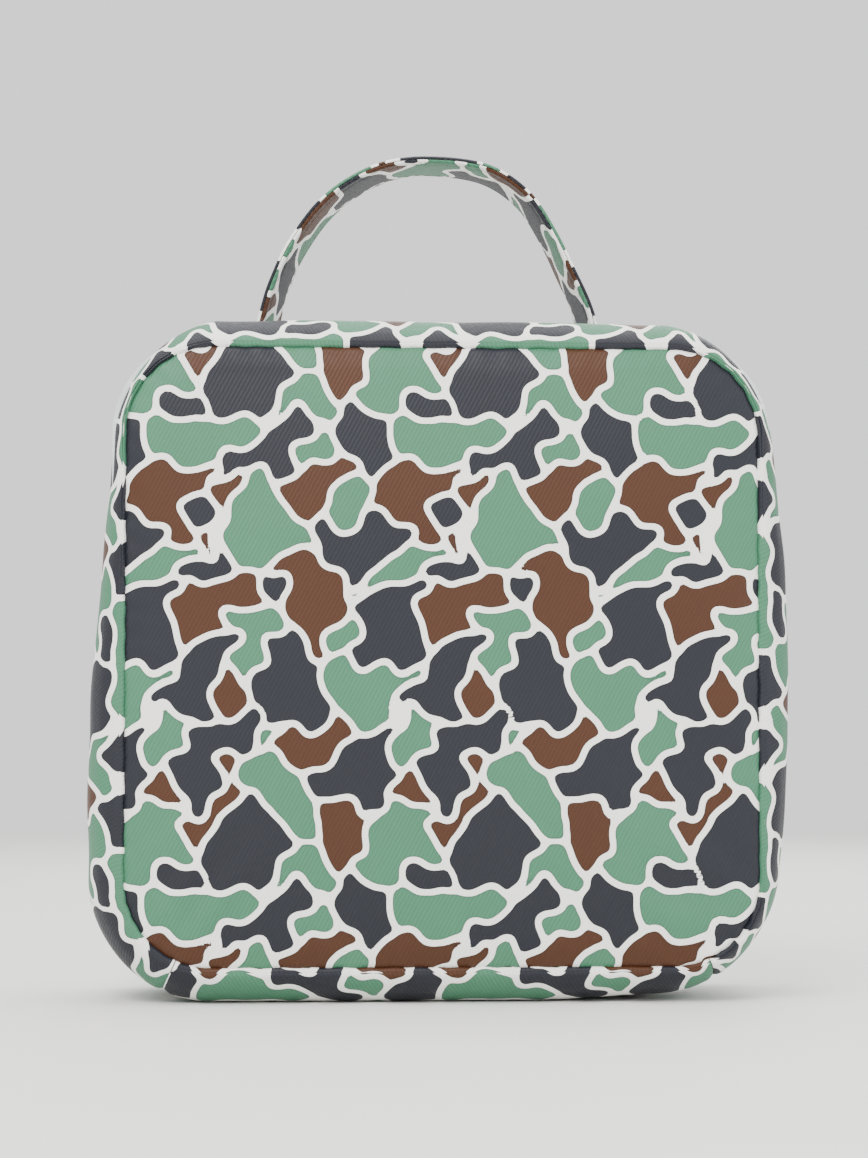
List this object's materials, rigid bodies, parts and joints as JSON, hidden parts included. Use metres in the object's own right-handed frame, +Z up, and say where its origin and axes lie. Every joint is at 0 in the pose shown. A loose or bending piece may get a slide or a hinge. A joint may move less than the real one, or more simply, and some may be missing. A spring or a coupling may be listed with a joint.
{
  "type": "insulated cooler bag",
  "caption": "Square soft insulated lunch bag in camouflage-print coated twill, foam-lined, with a zipped front that opens like a lid and a flat carry handle",
  "frame": {"origin": "middle of the bag's footprint on the surface it stands on", "axes": "+X to the bag's right seen from the front, +Y towards the back panel, +Z up"},
  "size_m": [0.254, 0.0954, 0.315],
  "materials": {
    "printed_twill": "satin",
    "foam": "matte",
    "lining": "satin",
    "binding": "matte",
    "zipper_tape": "matte",
    "zipper_coil": "satin",
    "slider_metal": "satin"
  },
  "bodies": {
    "bag": {"back_panel": "printed_twill", "back_foam": "foam", "back_lining": "lining", "rear_gusset": "printed_twill", "rear_gusset_foam": "foam", "rear_gusset_lining": "lining", "bottom_gusset": "printed_twill", "bottom_gusset_foam": "foam", "bottom_gusset_lining": "lining", "back_binding": "binding", "hinge_binding": "binding", "cross_seam_binding_left": "binding", "cross_seam_binding_right": "binding", "zipper_tape_rear": "zipper_tape", "zipper_coil_rear": "zipper_coil", "handle_anchor_left": "printed_twill", "handle_anchor_right": "printed_twill", "zipper_cover_left": "printed_twill", "zipper_cover_right": "printed_twill"},
    "lid": {"front_panel": "printed_twill", "front_foam": "foam", "front_lining": "lining", "front_gusset": "printed_twill", "front_gusset_foam": "foam", "front_gusset_lining": "lining", "lid_binding": "binding", "zipper_tape_front": "zipper_tape", "zipper_coil_front": "zipper_coil"},
    "handle": {"handle_outer_strap": "printed_twill", "handle_core": "foam", "handle_inner_strap": "printed_twill"},
    "slider_left": {"slider_left": "slider_metal"},
    "slider_right": {"slider_right": "slider_metal"},
    "pull_left": {"pull_left": "slider_metal"},
    "pull_right": {"pull_right": "slider_metal"}
  },
  "joints": [
    {"name": "lid_hinge", "type": "hinge", "parent": "bag", "child": "lid", "pos_m": [0, -0.042, 0.012], "axis": [1, 0, 0], "range_deg": [0, 90]},
    {"name": "handle_hinge", "type": "hinge", "parent": "bag", "child": "handle", "pos_m": [0, 0.0255, 0.261], "axis": [1, 0, 0], "range_deg": [-70, 70], "stiffness_Nm_per_rad": 0.02},
    {"name": "slider_left_slide", "type": "slide", "parent": "bag", "child": "slider_left", "axis": [1, 0, 0], "range_m": [-0.06, 0]},
    {"name": "slider_right_slide", "type": "slide", "parent": "bag", "child": "slider_right", "axis": [1, 0, 0], "range_m": [0, 0.06]},
    {"name": "pull_left_hinge", "type": "hinge", "parent": "slider_left", "child": "pull_left", "pos_m": [-0.0075, 0.004, 0.24679], "axis": [0, 1, 0], "range_deg": [0, 105]},
    {"name": "pull_right_hinge", "type": "hinge", "parent": "slider_right", "child": "pull_right", "pos_m": [0.0075, 0.004, 0.24679], "axis": [0, -1, 0], "range_deg": [0, 105]}
  ]
}
